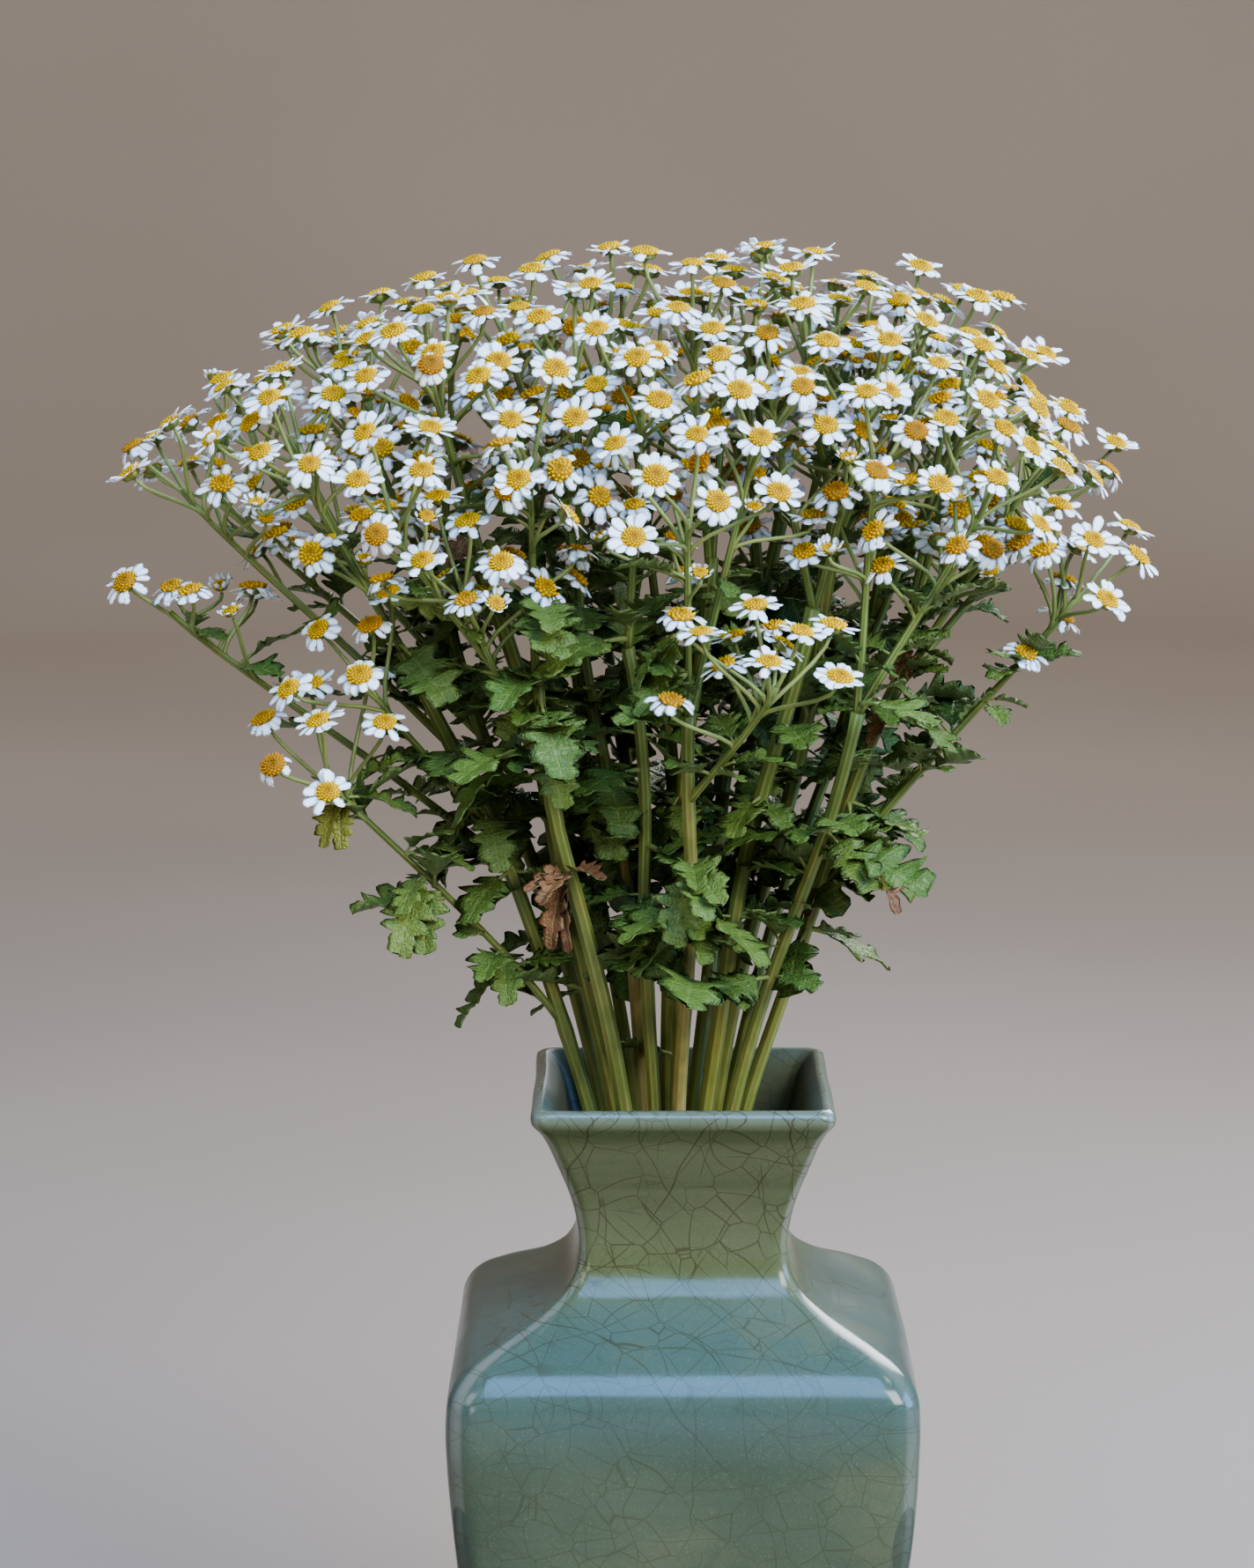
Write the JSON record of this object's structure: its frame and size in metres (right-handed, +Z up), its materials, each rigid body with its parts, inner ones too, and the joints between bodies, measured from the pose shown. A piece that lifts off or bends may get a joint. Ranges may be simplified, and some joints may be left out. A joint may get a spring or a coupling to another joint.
{
  "type": "feverfew stems in a square vase",
  "caption": "Cut feverfew stems with small daisy flower heads and lobed leaves, standing fanned out in a square shouldered celadon vase with a crackled glaze.",
  "frame": {"origin": "centre of the vase's flat foot, where it stands", "axes": "+Z up, +X to the right and -Y towards the viewer; the vase's four sides face along X and Y"},
  "size_m": [0.3378, 0.1959, 0.5336],
  "materials": {
    "celadon_glaze": "glossy grey-green celadon glaze with a fine brown crackle, thin and pale on the lip and corners",
    "plant": "matt green ribbed stems and lobed leaves, white blunt petals round domed yellow discs"
  },
  "bodies": {
    "root": {"vase": "celadon_glaze", "flower_stem_01": "plant", "flower_stem_02": "plant", "flower_stem_03": "plant", "flower_stem_04": "plant", "flower_stem_05": "plant", "flower_stem_06": "plant", "flower_stem_07": "plant", "flower_stem_08": "plant", "flower_stem_09": "plant", "flower_stem_10": "plant", "flower_stem_11": "plant", "flower_stem_12": "plant", "flower_stem_13": "plant", "flower_stem_14": "plant", "flower_stem_15": "plant", "flower_stem_16": "plant", "flower_stem_17": "plant", "flower_stem_18": "plant"}
  },
  "joints": []
}
